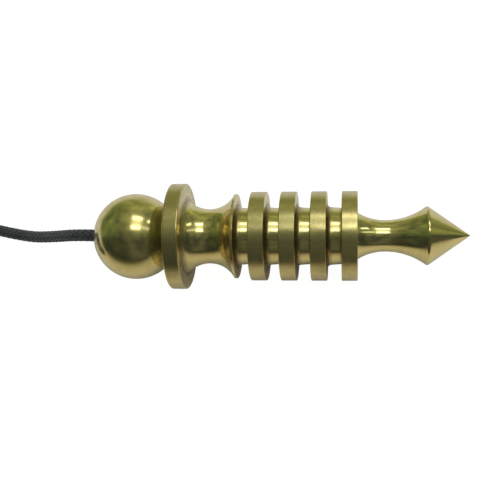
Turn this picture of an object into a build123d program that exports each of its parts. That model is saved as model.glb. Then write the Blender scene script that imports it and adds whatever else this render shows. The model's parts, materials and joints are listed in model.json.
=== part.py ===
from build123d import *
import math
import os

# Polished brass plumb bob of the ringed pattern, lying on its side, with a screw-on ball head
# and a soft braided cord. Millimetres, +Z up, the bob along X with its point toward +X.
#
# Stations are distances from the point, along the bob's axis. The bob is turned work, so every
# outline below is a list of (station, radius) on bob_plane and is revolved about bob_axis.

# --- Driving dimensions -------------------------------------------------------------------------
# Point and neck
tip_round = 0.15
shoulder_station = 7.7
shoulder_radius = 5.4
waist_station = 15.3
waist_radius = 2.9

# Rings and the core between them
ring_count = 4
ring_station = 20.3
ring_width = 2.9
ring_pitch = 5.6
ring_radius = 8.33
neck_root_radius = 4.32
core_radius = 5.33
core_taper = 4.0
core_fillet = 0.8
edge_break = 0.15

# Lip, spool and flange
lip_station = ring_station + ring_count * ring_pitch
lip_width = 0.45
lip_radius = 7.95
spool_station = 48.0
spool_radius = 5.15
spool_root_radius = 7.0
flange_station = 52.3
flange_width = 2.9
flange_radius = 10.0
flange_round = 0.3

# Screw between the body and the head, an M6 x 1 thread with open clearance
thread_pitch = 1.0
stud_root = 2.40
stud_crest = 2.95
stud_reach = 5.0
stud_radius = 2.5
stud_depth = 9.0
socket_crest = 2.55
socket_root = 3.10
socket_depth = 5.6
socket_relief_radius = 3.15
socket_relief_depth = 0.8
flank_clearance = 0.13
first_turn = 0.5
bore_gap = 0.5
ridge_half = 0.35
crest_half = 0.06
ridge_sink = 0.1
ridge_foot = 0.05
groove_runout = 1.1

# Ball head
ball_radius = 8.15
ball_offset = 7.15
chamber_radius = 2.9
chamber_length = 5.0
cord_hole_radius = 1.4
hole_mouth_radius = 1.7
drill_angle = 59.0

# Cord, knots and coil
cord_diameter = 2.3
knot_radius = 2.5
knot_length = 5.2
knot_round = 1.3
coil_center = (-77.6, -6.0)
coil_radius = 13.5
coil_section = 5.4
coil_corner = 1.0
tie_thickness = 0.4
tie_angle = 16.0
tie_at = 250.0

# --- Where the bob lies -------------------------------------------------------------------------
# It rests on the flange's front edge and on the front edge of the ring nearest the point, so its
# axis falls toward the point. The origin is on the floor under the middle of bob and head.
seat_station = flange_station + flange_width
ball_station = seat_station + ball_offset
tilt = math.degrees(math.atan((flange_radius - ring_radius) / (flange_station - ring_station)))
run = math.cos(math.radians(tilt))
rise = math.sin(math.radians(tilt))
tip_x = (ball_station * run + ball_radius) / 2
tip_z = ring_radius * run - ring_station * rise

bob_plane = Plane(origin=(tip_x, 0, tip_z), x_dir=(-run, 0, rise), z_dir=(0, 1, 0))
bob_axis = Axis(bob_plane.origin, bob_plane.x_dir)


def on_axis(station):
    """The point of the bob's axis at this distance from the tip."""
    return bob_plane.from_local_coords((station, 0, 0))


def thread_solid(first_station, length, inner_radius, outer_radius, inner_half, outer_half):
    """One helical ridge about the bob's axis, to add to the stud or to cut from the head."""
    with BuildPart() as ridge:
        with BuildLine() as path:
            Helix(
                pitch=thread_pitch,
                height=length,
                radius=inner_radius,
                center=on_axis(first_station),
                direction=bob_plane.x_dir,
            )
        start = path.line @ 0
        outward = (start - on_axis(first_station)).normalized()
        with BuildSketch(Plane(origin=start, x_dir=outward, z_dir=path.line % 0)):
            with BuildLine():
                height = outer_radius - inner_radius
                Polyline(
                    (0, -inner_half),
                    (height, -outer_half),
                    (height, outer_half),
                    (0, inner_half),
                    close=True,
                )
            make_face()
        sweep(path=path.line, is_frenet=True)
    return ridge.part


def cord_tube(points):
    """A cord through hand-chosen points: straight runs joined by arcs as large as they allow."""
    points = [Vector(*point) for point in points]
    runs = [end - start for start, end in zip(points, points[1:])]
    radii = []
    for before, after in zip(runs, runs[1:]):
        half_turn = math.radians(before.get_angle(after)) / 2
        radii.append(0.45 * min(before.length, after.length) / math.tan(half_turn))
    with BuildPart() as tube:
        with BuildLine() as path:
            FilletPolyline(*points, radius=radii)
        with BuildSketch(Plane(origin=path.line @ 0, z_dir=path.line % 0)):
            Circle(cord_diameter / 2)
        sweep(path=path.line)
    length = path.wire().length
    section = math.pi * cord_diameter**2 / 4
    print("cord radii", [round(radius, 1) for radius in radii])
    print("cord length", round(length, 1))
    print("volume over section times length", round(tube.part.volume / (section * length), 4))
    return tube.part


# --- Bob body: point, neck, rings, lip, spool and flange, turned in one piece --------------------
cone_angle = math.degrees(math.atan(shoulder_radius / shoulder_station))
lip_back = lip_station + lip_width
flange_edge = flange_radius - flange_round
bore_end = seat_station - stud_depth - bore_gap
drill_depth = stud_radius / math.tan(math.radians(drill_angle))

# The groove floors fall a little toward the point and curve up into the ring at their back.
groove_width = ring_pitch - ring_width
half_fall = groove_width / 2 * math.tan(math.radians(core_taper))
groove_floor = []
for ring in range(ring_count):
    ring_back = ring_station + ring * ring_pitch + ring_width
    groove_floor.append((ring_back, core_radius - half_fall))
    groove_floor.append((ring_back + groove_width, core_radius + half_fall))

with BuildPart() as bob_body:
    with BuildSketch(bob_plane) as outline:
        with BuildLine():
            point = CenterArc((tip_round, 0), tip_round, 180, cone_angle - 90)
            Line(point @ 1, (shoulder_station, shoulder_radius))
            waist = (waist_station, waist_radius)
            TangentArc(waist, (shoulder_station, shoulder_radius), tangent=(-1, 0))
            TangentArc(waist, (ring_station, neck_root_radius), tangent=(1, 0))
            Polyline(
                (ring_station, neck_root_radius),
                *groove_floor,
                (lip_station, lip_radius),
                (lip_back, lip_radius),
            )
            spool = (spool_station, spool_radius)
            TangentArc(spool, (lip_back, lip_radius), tangent=(-1, 0))
            TangentArc(spool, (flange_station, spool_root_radius), tangent=(1, 0))
            Polyline(
                (flange_station, spool_root_radius),
                (flange_station, flange_radius),
                (seat_station, flange_radius),
                (seat_station, stud_radius),
                (bore_end, stud_radius),
                (bore_end - drill_depth, 0),
                point @ 0,
            )
        make_face()
        for ring in range(ring_count):
            middle = ring_station + ring * ring_pitch + ring_width / 2
            with Locations((middle, ring_radius / 2)):
                Rectangle(ring_width, ring_radius)
        ring_corners = outline.vertices().filter_by(lambda v: abs(v.Y - ring_radius) < 0.01)
        fillet(ring_corners, edge_break)
        core_corners = outline.vertices().filter_by(lambda v: abs(v.Y - core_radius - half_fall) < 0.01)
        fillet(core_corners, core_fillet)
        flange_corners = outline.vertices().filter_by(lambda v: v.Y > flange_edge)
        fillet(flange_corners, flange_round)
    revolve(axis=bob_axis)
bob_body.part.label = "bob_body"

# --- Stud: plain shank pressed into the body, threaded end for the head --------------------------
shank_chamfer = 0.3
stud_end = seat_station + stud_reach
male_thread = thread_solid(
    seat_station + first_turn,
    stud_reach - 2 * first_turn,
    stud_root - ridge_sink,
    stud_crest,
    ridge_half + ridge_foot,
    crest_half,
)

with BuildPart() as threaded_stud:
    with BuildSketch(bob_plane):
        with BuildLine():
            Polyline(
                (seat_station - stud_depth, 0),
                (seat_station - stud_depth, stud_radius - shank_chamfer),
                (seat_station - stud_depth + shank_chamfer, stud_radius),
                (seat_station, stud_radius),
                (seat_station, stud_root),
                (stud_end - shank_chamfer, stud_root),
                (stud_end, stud_root - shank_chamfer),
                (stud_end, 0),
                close=True,
            )
        make_face()
    revolve(axis=bob_axis)
    add(male_thread)
threaded_stud.part.label = "threaded_stud"

# --- Ball head: a ball with a flat seat, a threaded socket, a knot chamber and a cord hole -------
seat_radius = 4.6
seat_height = ball_offset - math.sqrt(ball_radius**2 - seat_radius**2)
mouth_station = ball_station + math.sqrt(ball_radius**2 - hole_mouth_radius**2)
chamber_start = seat_station + socket_depth
chamber_end = chamber_start + chamber_length
chamber_cone = (chamber_radius - cord_hole_radius) / math.tan(math.radians(drill_angle))
flank_slope = (ridge_half - crest_half) / (stud_crest - stud_root)


def groove_half(radius):
    """Half the width of the head's thread groove, the stud's ridge plus its clearance."""
    return ridge_half - flank_slope * (radius - stud_root) + flank_clearance


female_thread = thread_solid(
    seat_station + first_turn - thread_pitch,
    socket_depth + thread_pitch - groove_runout,
    socket_crest - ridge_sink,
    socket_root,
    groove_half(socket_crest - ridge_sink),
    groove_half(socket_root),
)

with BuildPart() as ball_head:
    with BuildSketch(bob_plane):
        with BuildLine():
            Polyline((seat_station, seat_radius), (seat_station + seat_height, seat_radius))
            ThreePointArc(
                (seat_station + seat_height, seat_radius),
                (ball_station, ball_radius),
                (mouth_station, hole_mouth_radius),
            )
            Polyline(
                (mouth_station, hole_mouth_radius),
                (mouth_station - hole_mouth_radius + cord_hole_radius, cord_hole_radius),
                (chamber_end + chamber_cone, cord_hole_radius),
                (chamber_end, chamber_radius),
                (chamber_start, chamber_radius),
                (chamber_start, socket_crest),
                (seat_station + socket_relief_depth, socket_crest),
                (seat_station + socket_relief_depth, socket_relief_radius),
                (seat_station, socket_relief_radius),
                (seat_station, seat_radius),
            )
        make_face()
    revolve(axis=bob_axis)
    add(female_thread, mode=Mode.SUBTRACT)
ball_head.part.label = "ball_head"

# --- Stop knot: holds the cord inside the head ---------------------------------------------------
knot_gap = 0.2
knot_station = chamber_end - knot_gap

with BuildPart() as inner_knot:
    with BuildSketch(bob_plane) as knot_outline:
        with Locations((knot_station - knot_length / 2, knot_radius / 2)):
            Rectangle(knot_length, knot_radius)
        fillet(knot_outline.vertices().group_by(Axis.Y)[-1], knot_round)
    revolve(axis=bob_axis)
inner_knot.part.label = "inner_knot"

# --- Coil: the cord's put-away length, four turns, as one plain ring -----------------------------
coil_x, coil_y = coil_center
coil_axis = Axis((coil_x, coil_y, 0), (0, 0, 1))
section_middle = (coil_x + coil_radius, coil_section / 2)
coil_plane = Plane(origin=(0, coil_y, 0), x_dir=(1, 0, 0), z_dir=(0, -1, 0))

with BuildPart() as coil_tie:
    with BuildSketch(coil_plane):
        with Locations(section_middle):
            RectangleRounded(coil_section, coil_section, coil_corner)
            inner = coil_section - 2 * tie_thickness
            RectangleRounded(inner, inner, coil_corner - tie_thickness, mode=Mode.SUBTRACT)
    revolve(axis=coil_axis, revolution_arc=tie_angle)
coil_tie.part = coil_tie.part.rotate(coil_axis, tie_at)
coil_tie.part.label = "coil_tie"

with BuildPart() as cord_coil:
    with BuildSketch(coil_plane):
        with Locations(section_middle):
            RectangleRounded(coil_section, coil_section, coil_corner)
    revolve(axis=coil_axis)
    add(coil_tie.part, mode=Mode.SUBTRACT)
cord_coil.part.label = "cord_coil"

# --- Free cord: out of the head, down to the floor and into the coil -----------------------------
floor_height = 1.2
lead_y = coil_y + coil_radius + cord_diameter / 2
cord_route = [
    on_axis(knot_station),
    (-38.3, 0.4, 11.2),
    (-47.0, 3.0, 5.0),
    (-54.5, 4.9, 1.3),
    (-68.8, lead_y, floor_height),
    (coil_x, lead_y, floor_height),
]

with BuildPart() as cord_run:
    add(cord_tube(cord_route))
    add(cord_coil.part, mode=Mode.SUBTRACT)
cord_run.part.label = "cord_run"

# --- Tail: leaves the coil inward and ends in a knot inside the ring -----------------------------
tail_offsets = [(3.3, -12.4), (9.0, -9.0), (10.8, -2.6), (7.4, 3.1), (1.1, 4.8)]
tail_heights = [floor_height, floor_height, floor_height, floor_height, 2.3]
tail_route = [
    (coil_x + offset[0], coil_y + offset[1], height)
    for offset, height in zip(tail_offsets, tail_heights)
]

with BuildPart() as cord_tail:
    add(cord_tube(tail_route))
    add(cord_coil.part, mode=Mode.SUBTRACT)
cord_tail.part.label = "cord_tail"

tail_end = Vector(*tail_route[-1])
tail_direction = (tail_end - Vector(*tail_route[-2])).normalized()
sideways = Vector(0, 0, 1).cross(tail_direction)
knot_plane = Plane(origin=tail_end, x_dir=tail_direction, z_dir=sideways)
stub_length = 1.5

with BuildPart() as end_knot:
    with BuildSketch(knot_plane) as knot_outline:
        with Locations((knot_length / 2, knot_radius / 2)):
            Rectangle(knot_length, knot_radius)
        fillet(knot_outline.vertices().group_by(Axis.Y)[-1], knot_round)
        with Locations(((knot_length + stub_length) / 2, cord_diameter / 4)):
            Rectangle(knot_length + stub_length, cord_diameter / 2)
    revolve(axis=Axis(knot_plane.origin, tail_direction))
end_knot.part.label = "end_knot"

# --- Files ---------------------------------------------------------------------------------------
os.makedirs("parts", exist_ok=True)
export_step(bob_body.part, "parts/bob_body.step")
export_step(threaded_stud.part, "parts/threaded_stud.step")
export_step(ball_head.part, "parts/ball_head.step")
export_step(inner_knot.part, "parts/inner_knot.step")
export_step(cord_coil.part, "parts/cord_coil.step")
export_step(coil_tie.part, "parts/coil_tie.step")
export_step(cord_run.part, "parts/cord_run.step")
export_step(cord_tail.part, "parts/cord_tail.step")
export_step(end_knot.part, "parts/end_knot.step")
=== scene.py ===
import json
import math

import bmesh
import bpy
import numpy as np
from mathutils import Matrix, Vector


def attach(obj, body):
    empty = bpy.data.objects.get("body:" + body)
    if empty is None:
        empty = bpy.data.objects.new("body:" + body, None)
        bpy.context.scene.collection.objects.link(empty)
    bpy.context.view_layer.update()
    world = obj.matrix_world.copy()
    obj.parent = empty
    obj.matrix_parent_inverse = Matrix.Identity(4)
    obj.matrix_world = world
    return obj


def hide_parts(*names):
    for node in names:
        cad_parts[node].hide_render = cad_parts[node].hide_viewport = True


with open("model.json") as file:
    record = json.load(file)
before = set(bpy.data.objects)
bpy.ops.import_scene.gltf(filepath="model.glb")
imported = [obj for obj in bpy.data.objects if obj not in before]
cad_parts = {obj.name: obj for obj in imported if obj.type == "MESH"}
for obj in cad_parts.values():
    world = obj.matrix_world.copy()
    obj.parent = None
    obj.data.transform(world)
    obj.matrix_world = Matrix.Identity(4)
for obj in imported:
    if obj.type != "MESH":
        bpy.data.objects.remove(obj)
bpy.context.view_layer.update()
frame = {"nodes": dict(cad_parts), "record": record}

# A brass plumb bob lies on a pale floor, its point toward +X. Metres. Its axis, its point and the
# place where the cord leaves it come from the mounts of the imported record.
MM = 0.001
mounts = {mount["name"]: mount for mount in frame["record"]["mounts"]}
TIP = Vector(mounts["plumb_point"]["pos_m"])
TO_HEAD = Vector(mounts["cord_exit"]["axis"]).normalized()
UP_SIDE = Vector((TO_HEAD.z, 0, -TO_HEAD.x))

CORD_DIAMETER = 0.0023
CORD_RADIUS = CORD_DIAMETER / 2


def on_axis(station):
    """The point of the bob's axis this many millimetres from its tip."""
    return TIP + TO_HEAD * station * MM


# --- Bob ----------------------------------------------------------------------------------------
# Outlines are in millimetres, (station, radius), station being the distance from the tip.
TIP_ROUND = 0.15
SHOULDER = (7.7, 5.4)
RIDGE_ROUND = 0.34
RIDGE_LIFT = 0.1
WAIST = (15.3, 2.9)
RING_COUNT = 4
RING_STATION = 20.3
RING_WIDTH = 2.9
RING_PITCH = 5.6
RING_RADIUS = 8.33
NECK_ROOT_RADIUS = 4.32
CORE_RADIUS = 5.33
CORE_FALL = 0.094
CORE_FILLET = 0.8
EDGE = 0.15
LIP_STATION = RING_STATION + RING_COUNT * RING_PITCH
LIP_WIDTH = 0.45
LIP_RADIUS = 7.95
LIP_EDGE = 0.06
SPOOL = (48.0, 5.15)
SPOOL_ROOT_RADIUS = 7.0
FLANGE_STATION = 52.3
SEAT_STATION = 55.2
FLANGE_RADIUS = 10.0
FLANGE_EDGE = 0.3
STUD_RADIUS = 2.5
BORE_STATION = 45.7
BORE_CONE = 1.5
BALL_STATION = 62.35
BALL_RADIUS = 8.15
SEAT_RADIUS = 4.6
SOCKET_RADIUS = 3.15
MOUTH_RADIUS = 1.7
MOUTH_DEPTH = 1.3
HOLE_RADIUS = 1.4
STATION_SLACK = 0.01
RADIUS_SLACK = 0.02
ARC_STEP = 4
TURNED_STEPS = 216


def left_of(direction):
    return Vector((-direction.y, direction.x))


class Outline:
    """Straight and round stretches of a turned outline, each with its own normals at both ends."""

    def __init__(self, station, radius):
        self.at = Vector((station, radius))
        self.strips = []

    def line(self, station, radius):
        end = Vector((station, radius))
        normal = left_of((end - self.at).normalized())
        self.strips.append((self.at, end, normal, normal))
        self.at = end

    def arc(self, station, radius, leaving):
        """An arc that leaves the last point in the direction given."""
        start = self.at
        end = Vector((station, radius))
        ahead = Vector(leaving).normalized()
        side = left_of(ahead)
        chord = end - start
        turn = 2 * math.atan2(chord.dot(side), chord.dot(ahead))
        bend = 2 * chord.dot(side) / chord.length_squared
        steps = max(3, math.ceil(abs(math.degrees(turn)) / ARC_STEP))
        normal = side
        for step in range(1, steps + 1):
            angle = turn * step / steps
            place = start + (math.sin(angle) * ahead + (1 - math.cos(angle)) * side) / bend
            next_normal = left_of(math.cos(angle) * ahead + math.sin(angle) * side)
            self.strips.append((self.at, place, normal, next_normal))
            self.at, normal = place, next_normal

    def arc_into(self, station, radius, arriving):
        """An arc that reaches its end in the direction given."""
        chord = (Vector((station, radius)) - self.at).normalized()
        arriving = Vector(arriving)
        self.arc(station, radius, 2 * chord.dot(arriving) * chord - arriving)


def turned(name, outline):
    """Revolves an outline about the bob's axis into a mesh that keeps the outline's own normals."""
    steps = TURNED_STEPS
    side = Vector((0, 1, 0))
    spokes = []
    for step in range(steps):
        angle = 2 * math.pi * step / steps
        spokes.append(math.cos(angle) * UP_SIDE + math.sin(angle) * side)

    points, faces, normals = [], [], []

    def hoop(place):
        first = len(points)
        if place.y < 1e-6:
            points.append(on_axis(place.x))
            return [first] * steps
        points.extend(on_axis(place.x) + spoke * place.y * MM for spoke in spokes)
        return list(range(first, first + steps))

    last = hoop(outline.strips[0][0])
    for start, end, start_normal, end_normal in outline.strips:
        new = hoop(end)
        for step in range(steps):
            after = (step + 1) % steps
            corners = (
                (last[step], start_normal, step),
                (last[after], start_normal, after),
                (new[after], end_normal, after),
                (new[step], end_normal, step),
            )
            kept = [corner for turn, corner in enumerate(corners) if corner[0] != corners[turn - 1][0]]
            faces.append([corner[0] for corner in kept])
            normals.extend(TO_HEAD * normal.x + spokes[spoke] * normal.y for _, normal, spoke in kept)
        last = new
    mesh = bpy.data.meshes.new(name)
    mesh.from_pydata(points, [], faces)
    mesh.polygons.foreach_set("use_smooth", [True] * len(faces))
    mesh.normals_split_custom_set([tuple(normal) for normal in normals])
    piece = bpy.data.objects.new(name, mesh)
    bpy.context.collection.objects.link(piece)
    return piece


def ring_outline(outline, front, back, radius, edge):
    """Up a ring's front face, along its rim and round to its back face, with broken edges."""
    outline.line(front, radius - edge)
    outline.arc(front + edge, radius, (0, 1))
    outline.line(back - edge, radius)
    outline.arc(back, radius - edge, (1, 0))


def body_outline():
    """Point, shoulder, neck, rings, lip, spool, flange and the bore that holds the stud."""
    slope = math.atan2(SHOULDER[1], SHOULDER[0])
    outline = Outline(0, 0)
    outline.arc(TIP_ROUND * (1 - math.sin(slope)), TIP_ROUND * math.cos(slope), (0, 1))
    ridge = Vector(SHOULDER) + Vector((0, RIDGE_LIFT))
    before = ridge - RIDGE_ROUND * Vector((math.cos(slope), math.sin(slope)))
    after = ridge + RIDGE_ROUND * Vector((math.cos(slope), -math.sin(slope)))
    outline.line(*before)
    outline.arc(*after, (math.cos(slope), math.sin(slope)))
    outline.arc_into(*WAIST, (1, 0))
    outline.arc(RING_STATION, NECK_ROOT_RADIUS, (1, 0))
    for ring in range(RING_COUNT):
        front = RING_STATION + ring * RING_PITCH
        back = front + RING_WIDTH
        ring_outline(outline, front, back, RING_RADIUS, EDGE)
        outline.line(back, CORE_RADIUS - CORE_FALL)
        outline.line(front + RING_PITCH - CORE_FILLET, CORE_RADIUS + CORE_FALL / 2)
        outline.arc(front + RING_PITCH, CORE_RADIUS + CORE_FALL + CORE_FILLET, (1, 0.07))
    lip_back = LIP_STATION + LIP_WIDTH
    outline.line(LIP_STATION, LIP_RADIUS - LIP_EDGE)
    outline.arc(LIP_STATION + LIP_EDGE, LIP_RADIUS, (0, 1))
    outline.line(lip_back - LIP_EDGE, LIP_RADIUS)
    outline.arc(lip_back + 0.5 * LIP_EDGE, LIP_RADIUS - 0.8 * LIP_EDGE, (1, 0))
    outline.arc_into(*SPOOL, (1, 0))
    outline.arc(FLANGE_STATION, SPOOL_ROOT_RADIUS, (1, 0))
    ring_outline(outline, FLANGE_STATION, SEAT_STATION, FLANGE_RADIUS, FLANGE_EDGE)
    outline.line(SEAT_STATION, STUD_RADIUS)
    outline.line(BORE_STATION, STUD_RADIUS)
    outline.line(BORE_STATION - BORE_CONE, 0)
    return outline


def ball_outline():
    """From the socket's edge over the seat and round the ball into the cord's hole."""
    seat_end = BALL_STATION - math.sqrt(BALL_RADIUS**2 - SEAT_RADIUS**2)
    mouth = BALL_STATION + math.sqrt(BALL_RADIUS**2 - MOUTH_RADIUS**2)
    outline = Outline(SEAT_STATION, SOCKET_RADIUS)
    outline.line(SEAT_STATION, SEAT_RADIUS)
    outline.line(seat_end, SEAT_RADIUS)
    outline.arc(mouth, MOUTH_RADIUS, (SEAT_RADIUS, BALL_STATION - seat_end))
    outline.line(mouth - MOUTH_RADIUS + HOLE_RADIUS, HOLE_RADIUS)
    return outline


def add_body(material):
    body = turned("turned_body", body_outline())
    body.data.materials.append(material)
    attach(body, "bob")
    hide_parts("bob_body")


def add_head(material):
    """A finely turned ball round the CAD head's own threaded socket, chamber and cord hole."""
    head = turned("turned_head", ball_outline())
    inside = frame["nodes"]["ball_head"].data.copy()
    work = bmesh.new()
    work.from_mesh(inside)
    outer = []
    for face in work.faces:
        middle = face.calc_center_median() - TIP
        along = middle.dot(TO_HEAD)
        radius = (middle - along * TO_HEAD).length / MM
        station = along / MM
        seat = abs(station - SEAT_STATION) < STATION_SLACK
        by_mouth = station > BALL_STATION + BALL_RADIUS - MOUTH_DEPTH
        mouth = by_mouth and radius > HOLE_RADIUS + RADIUS_SLACK
        if radius > SOCKET_RADIUS + RADIUS_SLACK or seat or mouth:
            outer.append(face)
    bmesh.ops.delete(work, geom=outer, context="FACES")
    work.to_mesh(inside)
    work.free()
    socket = bpy.data.objects.new("threaded_socket", inside)
    bpy.context.collection.objects.link(socket)
    for piece in (head, socket):
        piece.data.materials.clear()
        piece.data.materials.append(material)
        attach(piece, "head")
        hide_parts("ball_head")


# --- Camera -------------------------------------------------------------------------------------
CAMERA_LENS = 57.6
CAMERA_SENSOR = 36
CAMERA_STATION = 21.3
CAMERA_DISTANCE = 0.1497
CAMERA_ELEVATION = 65
AIM_STATION = 40.43
TILT_DOWN = 0.99
ROLL = -0.15


def add_camera():
    """Above and in front of the point end, looking back along the bob a little."""
    elevation = math.radians(CAMERA_ELEVATION)
    outward = math.sin(elevation) * UP_SIDE - math.cos(elevation) * Vector((0, 1, 0))
    place = on_axis(CAMERA_STATION) + CAMERA_DISTANCE * outward
    forward = (on_axis(AIM_STATION) - place).normalized()
    right = (-TO_HEAD + TO_HEAD.dot(forward) * forward).normalized()
    up = right.cross(forward)
    tilt = math.radians(TILT_DOWN)
    ahead = math.cos(tilt) * forward - math.sin(tilt) * up
    up = right.cross(ahead)
    roll = math.radians(ROLL)
    right = math.cos(roll) * right + math.sin(roll) * up
    up = right.cross(ahead)
    camera = bpy.data.objects.new("camera", bpy.data.cameras.new("camera"))
    camera.data.lens = CAMERA_LENS
    camera.data.sensor_width = CAMERA_SENSOR
    camera.data.clip_start = 0.001
    camera.matrix_world = Matrix((right, up, -ahead)).transposed().to_4x4()
    camera.location = place
    bpy.context.collection.objects.link(camera)
    bpy.context.scene.camera = camera


# --- Node helpers -------------------------------------------------------------------------------
class Nodes:
    """A material's or the world's node tree, with short calls to add and join nodes."""

    def __init__(self, owner):
        owner.use_nodes = True
        self.tree = owner.node_tree
        self.tree.nodes.clear()

    def add(self, kind, **settings):
        node = self.tree.nodes.new(kind)
        for name, value in settings.items():
            setattr(node, name, value)
        return node

    def join(self, output, socket):
        self.tree.links.new(output, socket)

    def feed(self, value, socket):
        if isinstance(value, (int, float, tuple)):
            socket.default_value = value
        else:
            self.join(value, socket)

    def math(self, operation, first, second=0.0):
        node = self.add("ShaderNodeMath", operation=operation)
        self.feed(first, node.inputs[0])
        self.feed(second, node.inputs[1])
        return node.outputs[0]

    def ramp(self, factor, stops):
        node = self.add("ShaderNodeValToRGB")
        elements = node.color_ramp.elements
        while len(elements) < len(stops):
            elements.new(0.5)
        for element, (place, colour) in zip(elements, stops):
            element.position = place
            element.color = (*colour, 1)
        self.join(factor, node.inputs[0])
        return node.outputs[0]

    def noise(self, vector, scale, detail=4.0, roughness=0.5):
        node = self.add("ShaderNodeTexNoise")
        node.inputs["Scale"].default_value = scale
        node.inputs["Detail"].default_value = detail
        node.inputs["Roughness"].default_value = roughness
        self.join(vector, node.inputs["Vector"])
        return node.outputs["Fac"]

    def mix_shaders(self, factor, first, second):
        node = self.add("ShaderNodeMixShader")
        self.join(factor, node.inputs[0])
        self.join(first, node.inputs[1])
        self.join(second, node.inputs[2])
        return node.outputs[0]

    def smooth_step(self, value, low, high, out_low=0.0, out_high=1.0):
        node = self.add("ShaderNodeMapRange", interpolation_type="SMOOTHSTEP")
        self.join(value, node.inputs["Value"])
        node.inputs["From Min"].default_value = low
        node.inputs["From Max"].default_value = high
        node.inputs["To Min"].default_value = out_low
        node.inputs["To Max"].default_value = out_high
        return node.outputs["Result"]

    def principled(self, settings):
        """A Principled shader with these socket values, joined to the material's output."""
        shader = self.add("ShaderNodeBsdfPrincipled")
        for name, value in settings.items():
            shader.inputs[name].default_value = value
        output = self.add("ShaderNodeOutputMaterial")
        self.join(shader.outputs[0], output.inputs["Surface"])
        return shader

    def bump(self, height, strength, distance, shader):
        node = self.add("ShaderNodeBump")
        node.inputs["Strength"].default_value = strength
        node.inputs["Distance"].default_value = distance
        self.join(height, node.inputs["Height"])
        self.join(node.outputs[0], shader.inputs["Normal"])

    def yarn(self):
        """The yarn marks of a Skin: millimetres along a strand, and share of a turn round it."""
        split = self.add("ShaderNodeSeparateXYZ")
        self.join(self.add("ShaderNodeAttribute", attribute_name="yarn").outputs["Vector"], split.inputs[0])
        return split.outputs["X"], split.outputs["Y"]


# --- Materials ----------------------------------------------------------------------------------
BRASS_TONES = [
    (0.30, (0.66, 0.54, 0.25)),
    (0.45, (0.78, 0.66, 0.31)),
    (0.70, (0.85, 0.73, 0.37)),
]
# A brownish tone: painted shade in the corners, and a thin skin on the rims.
PAINTED_SHADE_AND_RIM_BROWN = (0.27, 0.21, 0.13, 1)
NO_RIM = 20.0
BAND_RIBS = 9


def bob_coordinates(nodes):
    """Station and radius in millimetres about the bob's axis, and both as one vector."""
    place = nodes.add("ShaderNodeTexCoord").outputs["Object"]
    shifted = nodes.add("ShaderNodeVectorMath", operation="SUBTRACT")
    nodes.join(place, shifted.inputs[0])
    shifted.inputs[1].default_value = TIP
    along = nodes.add("ShaderNodeVectorMath", operation="DOT_PRODUCT")
    nodes.join(shifted.outputs[0], along.inputs[0])
    along.inputs[1].default_value = TO_HEAD
    length = nodes.add("ShaderNodeVectorMath", operation="LENGTH")
    nodes.join(shifted.outputs[0], length.inputs[0])
    squared = nodes.math("POWER", length.outputs["Value"], 2.0)
    along_squared = nodes.math("POWER", along.outputs["Value"], 2.0)
    radius = nodes.math("SQRT", nodes.math("MAXIMUM", nodes.math("SUBTRACT", squared, along_squared)))
    station = nodes.math("MULTIPLY", along.outputs["Value"], 1 / MM)
    radius = nodes.math("MULTIPLY", radius, 1 / MM)
    both = nodes.add("ShaderNodeCombineXYZ")
    nodes.join(station, both.inputs["X"])
    nodes.join(radius, both.inputs["Y"])
    return place, station, radius, both.outputs[0]


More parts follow.
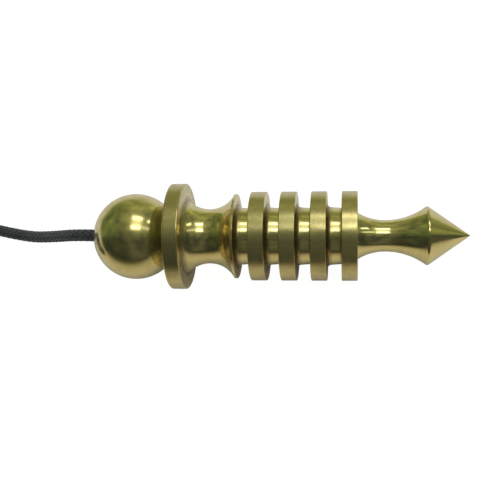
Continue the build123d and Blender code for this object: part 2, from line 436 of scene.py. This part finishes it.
def brass_material(name, polish, rim_radius):
    """Turned brass: polished, duller and browner on the rims, with painted shade in a brownish tone in the
    corners at the feet of the ring and flange faces.
    """
    material = bpy.data.materials.new(name)
    nodes = Nodes(material)
    place, station, radius, lathe = bob_coordinates(nodes)
    shader = nodes.principled({"Metallic": 1.0, "Coat Weight": 0.6, "Coat Roughness": 0.5})

    # Cloudy tarnish, a few mm across, over the whole surface, and speckle within it.
    cloud = nodes.noise(place, 330.0, detail=5.0, roughness=0.62)
    clean = nodes.ramp(cloud, BRASS_TONES)

    # Painted shade, in a brownish tone, in the corner at the foot of each ring's front face, and less so
    # behind its back.
    turn = nodes.math("SUBTRACT", station, RING_STATION)
    turn = nodes.math("FLOORED_MODULO", turn, RING_PITCH)
    front = nodes.smooth_step(turn, RING_PITCH - 1.3, RING_PITCH - 0.15)
    back = nodes.smooth_step(turn, RING_WIDTH + 0.5, RING_WIDTH + 0.05, 0, 0.6)
    corner = nodes.math("MAXIMUM", front, back)
    low = nodes.smooth_step(radius, 7.3, 5.9)
    grooved = nodes.math("GREATER_THAN", station, RING_STATION + 0.5 * RING_WIDTH)
    before_lip = nodes.math("LESS_THAN", station, LIP_STATION + 0.2)
    corner = nodes.math("MULTIPLY", corner, low)
    corner = nodes.math("MULTIPLY", corner, nodes.math("MULTIPLY", grooved, before_lip))
    # Painted shade of the same tone round the foot of both faces of the flange.
    for foot in (FLANGE_STATION, SEAT_STATION):
        near_foot = nodes.math("ABSOLUTE", nodes.math("SUBTRACT", station, foot))
        near_foot = nodes.smooth_step(near_foot, 0.9, 0.1)
        inner = nodes.smooth_step(radius, 8.6, 6.6)
        corner = nodes.math("MAXIMUM", corner, nodes.math("MULTIPLY", near_foot, inner))
    ragged = nodes.noise(place, 1500.0, detail=4.0, roughness=0.6)
    ragged = nodes.smooth_step(ragged, 0.25, 0.7, 0.6, 1.0)
    # The corners' painted shade, broken up by noise.
    painted_corner_shade = nodes.math("MULTIPLY", corner, ragged)
    # The rims, which are handled most, hold a thinner skin of the same brownish tone.
    rim_from, rim_to = rim_radius - 0.15, rim_radius - 0.02
    handled = nodes.smooth_step(radius, rim_from, rim_to, 0, 0.3)
    tint = nodes.math("MAXIMUM", painted_corner_shade, nodes.math("MULTIPLY", handled, ragged))
    # Mixes in the brownish tone: painted shade in the corners, a thin skin on the rims.
    colour = nodes.add("ShaderNodeMix", data_type="RGBA")
    nodes.join(tint, colour.inputs["Factor"])
    nodes.join(clean, colour.inputs["A"])
    colour.inputs["B"].default_value = PAINTED_SHADE_AND_RIM_BROWN
    nodes.join(colour.outputs["Result"], shader.inputs["Base Color"])

    # Turning marks run round the bob, so they change with station and radius only.
    marks = nodes.noise(lathe, 9.0, detail=6.0, roughness=0.75)
    rim = nodes.smooth_step(radius, rim_from, rim_to, 0, 0.15)
    dull = nodes.math("MULTIPLY", nodes.smooth_step(cloud, 0.60, 0.35), 0.07)
    rough = nodes.math("ADD", nodes.math("MULTIPLY", marks, 0.06), polish - 0.03)
    for extra in (rim, dull, nodes.math("MULTIPLY", painted_corner_shade, 0.3)):
        rough = nodes.math("ADD", rough, extra)
    nodes.join(rough, shader.inputs["Roughness"])
    nodes.bump(marks, 0.5, 0.000006, shader)
    return material


def fabric_material(name, colour, pale, plies_per_mm):
    """Twisted yarns: the plies wind round each strand, and loose fibres catch the light. The colour adds a
    painted highlight on the ply crowns and raised fibres, and painted shade between the plies, to a random
    worn tone.
    """
    material = bpy.data.materials.new(name)
    nodes = Nodes(material)
    shader = nodes.principled({
        "Roughness": 0.85,
        "Specular IOR Level": 0.25,
        "Sheen Weight": 0.45,
        "Sheen Roughness": 0.45,
        "Sheen Tint": (0.75, 0.80, 0.82, 1),
    })
    along, around = nodes.yarn()
    place = nodes.add("ShaderNodeTexCoord").outputs["Object"]
    turns = nodes.math("MULTIPLY", along, plies_per_mm)
    turns = nodes.math("ADD", turns, around)
    ply = nodes.math("SINE", nodes.math("MULTIPLY", turns, 2 * math.pi))
    ply = nodes.math("MULTIPLY", nodes.math("ADD", ply, 1.0), 0.5)
    fibre = nodes.noise(place, 9000.0, detail=3.0, roughness=0.7)
    wear = nodes.noise(place, 420.0, detail=4.0, roughness=0.6)

    # Painted highlight on the ply crowns and raised fibres and painted shade between the plies, following
    # the bump's height, over a random worn tone.
    shade = nodes.math("MULTIPLY", ply, 0.35)
    shade = nodes.math("ADD", shade, nodes.math("MULTIPLY", wear, 0.55))
    shade = nodes.math("ADD", shade, nodes.math("MULTIPLY", fibre, 0.25))
    nodes.join(nodes.ramp(shade, [(0.30, colour), (0.85, pale)]), shader.inputs["Base Color"])

    height = nodes.math("ADD", ply, nodes.math("MULTIPLY", fibre, 0.8))
    nodes.bump(height, 0.7, 0.00004, shader)
    return material


def band_material():
    """Matt black elastic with a fine rib on each of its threads, painted lighter on the rib crowns and
    darker between them.
    """
    material = bpy.data.materials.new("tie_band")
    nodes = Nodes(material)
    shader = nodes.principled({"Roughness": 0.7})
    _, around = nodes.yarn()
    thread = nodes.math("SINE", nodes.math("MULTIPLY", around, 2 * math.pi * BAND_RIBS))
    thread = nodes.math("MULTIPLY", nodes.math("ADD", thread, 1.0), 0.5)
    place = nodes.add("ShaderNodeTexCoord").outputs["Object"]
    dust = nodes.noise(place, 900.0, detail=4.0)
    # Painted highlight on the rib crowns and painted shade between the ribs, following the bump's height,
    # mixed with dust.
    shade = nodes.math("ADD", nodes.math("MULTIPLY", thread, 0.4), nodes.math("MULTIPLY", dust, 0.6))
    tones = [(0.3, (0.020, 0.020, 0.022)), (0.8, (0.060, 0.060, 0.064))]
    nodes.join(nodes.ramp(shade, tones), shader.inputs["Base Color"])
    nodes.bump(thread, 0.6, 0.00005, shader)
    return material


def dress(node, material):
    """Gives a CAD node a finished material."""
    mesh = frame["nodes"][node].data
    mesh.materials.clear()
    mesh.materials.append(material)


# --- Cord ---------------------------------------------------------------------------------------
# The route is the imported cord's: out of the ball, down to the floor, and put away as a tied coil.
KNOT_STATION = 65.6
COIL_CENTER = Vector((-0.0776, -0.0060, 0))
COIL_RADIUS = 0.0135
COIL_TURNS = 4
COIL_STEPS = 20
COIL_START = 90
COIL_SHORT = 150
COIL_GAP = 0.00005
CHANGE_FROM, CHANGE_FOR = -60, 135
TIE_FROM, TIE_SPAN = 250, 16
TIE_THICKNESS = 0.0004
TIE_EASE = 24
LEAD_Y = COIL_CENTER.y + COIL_RADIUS + CORD_RADIUS
FLOOR_HEIGHT = 0.0012

LEAD = [
    on_axis(KNOT_STATION),
    Vector((-0.0383, 0.0004, 0.0112)),
    Vector((-0.0470, 0.0030, 0.0050)),
    Vector((-0.0545, 0.0049, 0.0013)),
    Vector((-0.0688, LEAD_Y, FLOOR_HEIGHT)),
]
TAIL = [(0.0090, -0.0090), (0.0108, -0.0026), (0.0074, 0.0031)]
TAIL_END = (0.0011, 0.0048, 0.0023)

# The braid: eight strands each way round a plain core, which pass over and under each other.
STRANDS = 8
LAY = 0.0108
STRAND_RADIUS = 0.00098
STRAND_SWING = 0.00006
STRAND_HALF_WIDTH = 0.00037
STRAND_HALF_HEIGHT = 0.00018
STRAND_SIDES = 5
CORE_SIDES = 10
CORE_HALF = 0.00088
BRAID_STEP = 0.00036

KNOT_LENGTH = 0.0052
STUB_LENGTH = 0.0015
KNOT_WRAP_RADIUS = 0.0012
KNOT_WRAPS = 2.6
KNOT_FIRST_WRAP = 0.0011
KNOT_LAST_WRAP = KNOT_LENGTH - 0.0012
KNOT_STEPS = 34

BAND_THREADS = 7
BAND_STEPS = 64
BAND_THREAD_SIDES = 8


def coil_points():
    """Four turns in two columns and two layers, which change places once a turn, as if twisted."""
    bundle = CORD_RADIUS * math.sqrt(2)
    tie_middle = math.radians(TIE_FROM + TIE_SPAN / 2)
    points = []
    last = round((COIL_TURNS - COIL_SHORT / 360) * COIL_STEPS)
    for step in range(last):
        angle = math.radians(COIL_START) + (step + 0.5) * 2 * math.pi / COIL_STEPS
        past = (angle - math.radians(CHANGE_FROM)) / (2 * math.pi)
        turn = math.floor(past)
        share = min((past - turn) * 2 * math.pi / math.radians(CHANGE_FOR), 1)
        share = share * share * (3 - 2 * share)
        quarter = (turn + share - 1) * math.pi / 2
        phase = quarter - math.pi / 4
        lift = max(math.cos(abs((quarter % (math.pi / 2)) - math.pi / 4)), 0)
        height = CORD_RADIUS + bundle * lift + COIL_GAP
        # Near the tie the coil is held up by the tie's thickness.
        off_tie = abs((angle - tie_middle + math.pi) % (2 * math.pi) - math.pi)
        height += TIE_THICKNESS * min(1, max(0, 1.6 - off_tie / math.radians(TIE_EASE)))
        radius = COIL_RADIUS + bundle * math.cos(phase)
        radius /= math.cos(math.pi / COIL_STEPS)
        points.append(COIL_CENTER + Vector((
            radius * math.cos(angle),
            radius * math.sin(angle),
            height + bundle * math.sin(phase),
        )))
    return points


def cord_points():
    tail = [COIL_CENTER + Vector((x, y, FLOOR_HEIGHT)) for x, y in TAIL]
    return [*LEAD, *coil_points(), *tail, COIL_CENTER + Vector(TAIL_END)]


def spline_line(points):
    """Points along the open quadratic NURBS spline whose control points are a route's points."""
    curve = bpy.data.curves.new("route", "CURVE")
    curve.dimensions = "3D"
    curve.resolution_u = 24
    spline = curve.splines.new("NURBS")
    spline.points.add(len(points) - 1)
    for point, place in zip(spline.points, points):
        point.co = (*place, 1)
    spline.order_u = 3
    spline.use_endpoint_u = True
    route = bpy.data.objects.new("route", curve)
    line = np.array([tuple(vertex.co) for vertex in bpy.data.meshes.new_from_object(route).vertices])
    bpy.data.objects.remove(route)
    bpy.data.curves.remove(curve)
    return line


def evenly(line, step):
    """The same line with its points a step apart, and how far along it each point is."""
    runs = np.linalg.norm(np.diff(line, axis=0), axis=1)
    along = np.concatenate(([0], np.cumsum(runs)))
    count = max(2, round(along[-1] / step) + 1)
    places = np.linspace(0, along[-1], count)
    return np.stack([np.interp(places, along, line[:, axis]) for axis in range(3)], axis=1), places


def unit(vectors):
    return vectors / np.linalg.norm(vectors, axis=-1, keepdims=True)


def carried_frame(line):
    """A side and an up direction at each point, carried along the line without twist."""
    ahead = unit(np.gradient(line, axis=0))
    start = np.cross(ahead[0], (0.0, 1.0, 0.2))
    sides = [start / np.linalg.norm(start)]
    for direction in ahead[1:]:
        side = sides[-1] - np.dot(sides[-1], direction) * direction
        sides.append(side / np.linalg.norm(side))
    sides = np.array(sides)
    return sides, np.cross(ahead, sides)


class Skin:
    """Closed tubes gathered into one mesh, each vertex with its place along and round its strand."""

    def __init__(self):
        self.points, self.faces, self.yarn = [], [], []
        self.count = 0

    def tube(self, line, across, out, half_width, half_height, sides, along, strand):
        angles = np.arange(sides) * 2 * np.pi / sides
        rings = (
            line[:, None]
            + across[:, None] * (half_width * np.cos(angles))[None, :, None]
            + out[:, None] * (half_height * np.sin(angles))[None, :, None]
        )
        rows = len(line)
        self.points.append(rings.reshape(-1, 3))
        marks = np.zeros((rows, sides, 3))
        marks[..., 0] = (along / MM)[:, None]
        marks[..., 1] = (angles / (2 * np.pi))[None, :]
        marks[..., 2] = strand
        self.yarn.append(marks.reshape(-1, 3))
        for row in range(rows - 1):
            low = self.count + row * sides
            for side in range(sides):
                after = (side + 1) % sides
                self.faces.append((low + side, low + after, low + sides + after, low + sides + side))
        self.faces.append(tuple(self.count + side for side in reversed(range(sides))))
        top = self.count + (rows - 1) * sides
        self.faces.append(tuple(top + side for side in range(sides)))
        self.count += rows * sides

    def piece(self, name, material):
        mesh = bpy.data.meshes.new(name)
        mesh.from_pydata(np.concatenate(self.points).tolist(), [], self.faces)
        mesh.polygons.foreach_set("use_smooth", [True] * len(self.faces))
        marks = mesh.attributes.new("yarn", "FLOAT_VECTOR", "POINT")
        marks.data.foreach_set("vector", np.concatenate(self.yarn).ravel())
        mesh.materials.append(material)
        piece = bpy.data.objects.new(name, mesh)
        bpy.context.collection.objects.link(piece)
        return piece


def braided(name, line, material):
    """A round braid about a line: a core, and strands that wind both ways round it."""
    line, along = evenly(line, BRAID_STEP)
    side, up = carried_frame(line)
    skin = Skin()
    skin.tube(line, side, up, CORE_HALF, CORE_HALF, CORE_SIDES, along, 0)
    turn = 2 * np.pi * along / LAY
    for way in (1, -1):
        reach = STRAND_RADIUS + way * STRAND_SWING * np.cos(STRANDS * turn)
        for strand in range(STRANDS):
            angle = way * turn + 2 * np.pi * strand / STRANDS
            out = np.cos(angle)[:, None] * side + np.sin(angle)[:, None] * up
            centre = line + reach[:, None] * out
            across = unit(np.cross(np.gradient(centre, axis=0), out))
            skin.tube(
                centre, across, out, STRAND_HALF_WIDTH, STRAND_HALF_HEIGHT, STRAND_SIDES, along, strand
            )
    return skin.piece(name, material), line


def stop_knot(name, start, ahead, material):
    """A double overhand knot pulled tight: the cord runs through its own two wraps."""
    ahead = ahead.normalized()
    side = ahead.cross(Vector((0, 0, 1))).normalized()
    up = side.cross(ahead)
    first, last = KNOT_FIRST_WRAP, KNOT_LAST_WRAP

    def place(along, out, angle):
        return start + ahead * along + (side * math.cos(angle) + up * math.sin(angle)) * out

    points = [place(0, 0, 0), place(0.5 * KNOT_LENGTH, 0.0002, 2.0), place(last + 0.0007, 0.0004, -0.6)]
    for step in range(KNOT_STEPS + 1):
        share = step / KNOT_STEPS
        out = KNOT_WRAP_RADIUS * min(1, 0.55 + 3 * share, 0.55 + 3 * (1 - share))
        sway = 0.0002 * math.sin(5 * share * math.pi)
        points.append(place(last + (first - last) * share + sway, out, KNOT_WRAPS * 2 * math.pi * share))
    points += [
        place(first + 0.0004, 0.0003, 0.4),
        place(0.6 * KNOT_LENGTH, 0.0002, 3.6),
        place(KNOT_LENGTH, 0.0001, 0),
        place(KNOT_LENGTH + STUB_LENGTH, 0, 0),
    ]
    knot, _ = braided(name, spline_line(points), material)
    return knot


def tie_piece(material):
    """A flat elastic band round the coil's section, woven of threads side by side."""
    start = math.radians(TIE_FROM)
    span = math.radians(TIE_SPAN)
    half = CORD_RADIUS * 2
    skin = Skin()
    for thread in range(BAND_THREADS):
        spoke = start + span * (thread + 0.5) / BAND_THREADS
        out = Vector((math.cos(spoke), math.sin(spoke), 0))
        middle = COIL_CENTER + out * COIL_RADIUS + Vector((0, 0, half + TIE_THICKNESS))
        line, outward = [], []
        for step in range(BAND_STEPS + 1):
            angle = 2 * math.pi * step / BAND_STEPS
            flat_x, flat_z = math.cos(angle), math.sin(angle)
            square = 1 / (abs(flat_x) ** 5 + abs(flat_z) ** 5) ** 0.2
            reach = (half + 0.5 * TIE_THICKNESS) * square
            way = out * flat_x + Vector((0, 0, flat_z))
            line.append(middle + way * reach)
            outward.append(way)
        line = np.array([tuple(point) for point in line])
        outward = np.array([tuple(way) for way in outward])
        ahead = unit(np.gradient(line, axis=0))
        across = unit(np.cross(ahead, outward))
        outward = np.cross(across, ahead)
        width = 0.54 * span / BAND_THREADS * COIL_RADIUS
        height = 0.46 * TIE_THICKNESS
        along = np.linspace(0, 8 * half, len(line))
        skin.tube(line, across, outward, width, height, BAND_THREAD_SIDES, along, thread)
    return skin.piece("elastic_tie", material)


def add_cord():
    black = fabric_material("black_cord", (0.022, 0.026, 0.028), (0.072, 0.080, 0.085), 2.2)
    cord, line = braided("braided_cord", spline_line(cord_points()), black)
    inner = stop_knot("inner_stop_knot", on_axis(KNOT_STATION), -TO_HEAD, black)
    end = Vector(line[-1])
    outer = stop_knot("end_stop_knot", end, end - Vector(line[-8]), black)
    tie = tie_piece(band_material())
    for piece, slot, nodes in (
        (cord, "black_cord", ("cord_run", "cord_coil", "cord_tail")),
        (inner, "black_cord", ("inner_knot",)),
        (outer, "black_cord", ("end_knot",)),
        (tie, "tie_band", ("coil_tie",)),
    ):
        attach(piece, "cord")
        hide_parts(*nodes)


# --- Stage --------------------------------------------------------------------------------------
# Directions about the bob are given by two angles. The cross angle goes round its axis, from 0 at
# the near horizon over 90 straight up to 180 at the far horizon. The lean goes toward the point.
# ROOM and SOFT_LIGHT go by cross angle, LEAN by the X of a direction, THINGS by a cloudy noise.
ROOM = [
    (-90, (0.30, 0.30, 0.28)),
    (-20, (0.085, 0.09, 0.07)),
    (0, (0.075, 0.08, 0.065)),
    (56, (0.08, 0.09, 0.065)),
    (76, (0.17, 0.20, 0.11)),
    (86, (0.31, 0.34, 0.17)),
    (128, (0.33, 0.36, 0.17)),
    (150, (0.29, 0.32, 0.13)),
    (178, (0.34, 0.37, 0.15)),
    (200, (0.46, 0.50, 0.34)),
    (230, (0.50, 0.55, 0.45)),
]
LEAN = [
    (-1.0, (0.40, 0.50, 0.40)),
    (-0.75, (0.50, 0.60, 0.50)),
    (-0.45, (0.50, 0.55, 0.45)),
    (-0.22, (0.75, 0.75, 0.75)),
    (-0.03, (1.0, 1.0, 1.0)),
    (0.5, (1.0, 1.0, 1.0)),
    (0.75, (0.6, 0.65, 0.6)),
]
THINGS = [
    (0.36, (0.45, 0.47, 0.5)),
    (0.50, (0.95, 0.95, 0.9)),
    (0.64, (1.6, 1.5, 1.3)),
]
SOFT_LIGHT = [(-90, 0.15), (0, 0.18), (70, 0.32), (100, 0.62), (190, 0.70)]


def add_world():
    """White to the camera, a dim two-sided room in the brass, and a soft neutral light elsewhere."""
    world = bpy.data.worlds.new("room")
    bpy.context.scene.world = world
    nodes = Nodes(world)
    direction = nodes.add("ShaderNodeTexCoord").outputs["Generated"]
    split = nodes.add("ShaderNodeSeparateXYZ")
    nodes.join(direction, split.inputs[0])
    cross = nodes.math("ARCTAN2", split.outputs["Y"], split.outputs["Z"])
    cross = nodes.math("DIVIDE", cross, 2 * math.pi)
    cross = nodes.math("ADD", cross, 0.5)
    room = nodes.ramp(cross, [(angle / 360 + 0.25, colour) for angle, colour in ROOM])
    lean = nodes.math("MULTIPLY", split.outputs["X"], 0.5)
    lean = nodes.math("ADD", lean, 0.5)
    lean = nodes.ramp(lean, [(x / 2 + 0.5, colour) for x, colour in LEAN])
    things = nodes.noise(direction, 2.6, detail=5.0, roughness=0.65)
    things = nodes.ramp(things, THINGS)
    shaded = nodes.add("ShaderNodeVectorMath", operation="MULTIPLY")
    nodes.join(room, shaded.inputs[0])
    nodes.join(lean, shaded.inputs[1])
    filled = nodes.add("ShaderNodeVectorMath", operation="MULTIPLY")
    nodes.join(shaded.outputs[0], filled.inputs[0])
    nodes.join(things, filled.inputs[1])
    soft = nodes.ramp(cross, [(angle / 360 + 0.25, (level,) * 3) for angle, level in SOFT_LIGHT])

    rays = nodes.add("ShaderNodeLightPath").outputs
    kinds = []
    for colour in (soft, filled.outputs[0], (1, 1, 1, 1)):
        light = nodes.add("ShaderNodeBackground")
        nodes.feed(colour, light.inputs["Color"])
        kinds.append(light.outputs[0])
    lit = nodes.mix_shaders(rays["Is Glossy Ray"], kinds[0], kinds[1])
    both = nodes.mix_shaders(rays["Is Camera Ray"], lit, kinds[2])
    output = nodes.add("ShaderNodeOutputWorld")
    nodes.join(both, output.inputs["Surface"])


LIGHT_DISTANCE = 0.9


def add_panel(name, cross, across, leans, radiance, colour):
    """A rectangular light along the bob, placed and sized by the angles at which the bob sees it."""
    angle = math.radians(cross)
    outward = Vector((0, -math.cos(angle), math.sin(angle)))
    low, high = (LIGHT_DISTANCE * math.tan(math.radians(lean)) for lean in leans)
    light = bpy.data.lights.new(name, "AREA")
    light.shape = "RECTANGLE"
    light.size = high - low
    light.size_y = 2 * LIGHT_DISTANCE * math.tan(math.radians(across / 2))
    light.color = colour
    light.energy = radiance * math.pi * light.size * light.size_y
    panel = bpy.data.objects.new(name, light)
    x_axis = Vector((1, 0, 0))
    y_axis = outward.cross(x_axis)
    panel.matrix_world = Matrix((x_axis, y_axis, outward)).transposed().to_4x4()
    panel.location = outward * LIGHT_DISTANCE + Vector(((low + high) / 2, 0, 0))
    panel.visible_camera = False
    bpy.context.collection.objects.link(panel)


def add_lights():
    """Two strip lights in one fitting over the far side, and the next, dimmer fitting beyond it."""
    tube = (1.0, 1.0, 0.90)
    add_panel("tube_far", 116, 10, (1, 24), 2.6, tube)
    add_panel("tube_near", 90, 10, (1, 24), 2.6, tube)
    add_panel("diffuser", 103, 16, (1, 24), 0.75, (0.95, 1.0, 0.85))
    add_panel("fitting", 103, 44, (-2, 31), 0.22, (0.95, 1.0, 0.70))
    add_panel("next_tube_far", 119, 9, (38, 54), 2.0, tube)
    add_panel("next_tube_near", 92, 9, (30, 56), 0.8, tube)


FLOOR_HALF = 3.0
FLOOR_GLOW = 0.96
FLOOR_NEAR, FLOOR_FAR = -0.11, 0.19
# Painted light on the sheet where the brass sees it: dark toward the camera, pale under the bob, tinted far
# beyond it.
PAINTED_FLOOR_LIGHT = [
    (-0.110, (0.10, 0.10, 0.06)),
    (-0.065, (0.30, 0.29, 0.19)),
    (-0.035, (0.66, 0.62, 0.46)),
    (-0.018, (0.90, 0.85, 0.68)),
    (-0.004, (0.90, 0.90, 0.86)),
    (0.030, (0.94, 0.94, 0.94)),
    (0.080, (0.84, 0.88, 0.74)),
    (0.190, (0.66, 0.71, 0.42)),
]


def add_floor():
    """A sheet that the brass sees with painted light, pale under the bob, dark toward the camera and tinted
    far from the bob, and white to the camera.
    """
    mesh = bpy.data.meshes.new("floor")
    half = FLOOR_HALF
    corners = [(-half, -half, 0), (half, -half, 0), (half, half, 0), (-half, half, 0)]
    mesh.from_pydata(corners, [], [(0, 1, 2, 3)])
    floor = bpy.data.objects.new("floor", mesh)
    bpy.context.collection.objects.link(floor)
    material = bpy.data.materials.new("floor")
    nodes = Nodes(material)
    split = nodes.add("ShaderNodeSeparateXYZ")
    nodes.join(nodes.add("ShaderNodeTexCoord").outputs["Object"], split.inputs[0])
    span = FLOOR_FAR - FLOOR_NEAR
    depth = nodes.math("SUBTRACT", split.outputs["Y"], FLOOR_NEAR)
    depth = nodes.math("DIVIDE", depth, span)
    # Painted light of the sheet for rays other than the camera's, falling off toward the camera.
    painted_floor_light = nodes.ramp(depth, [((y - FLOOR_NEAR) / span, colour) for y, colour in PAINTED_FLOOR_LIGHT])
    diffuse = nodes.add("ShaderNodeBsdfDiffuse")
    nodes.join(painted_floor_light, diffuse.inputs["Color"])
    plain = nodes.add("ShaderNodeBsdfDiffuse")
    plain.inputs["Color"].default_value = (0.2, 0.2, 0.2, 1)
    glow = nodes.add("ShaderNodeEmission")
    glow.inputs["Strength"].default_value = FLOOR_GLOW
    lifted = nodes.add("ShaderNodeAddShader")
    nodes.join(plain.outputs[0], lifted.inputs[0])
    nodes.join(glow.outputs[0], lifted.inputs[1])
    seen = nodes.add("ShaderNodeLightPath").outputs["Is Camera Ray"]
    output = nodes.add("ShaderNodeOutputMaterial")
    nodes.join(nodes.mix_shaders(seen, diffuse.outputs[0], lifted.outputs[0]), output.inputs["Surface"])
    mesh.materials.append(material)


# --- Assembly -----------------------------------------------------------------------------------
bpy.context.scene.view_settings.view_transform = "Standard"
add_camera()
add_world()
add_lights()
add_floor()
add_cord()
add_body(brass_material("polished_brass", 0.09, RING_RADIUS))
add_head(brass_material("polished_ball", 0.14, NO_RIM))
dress("threaded_stud", brass_material("screw_brass", 0.22, NO_RIM))
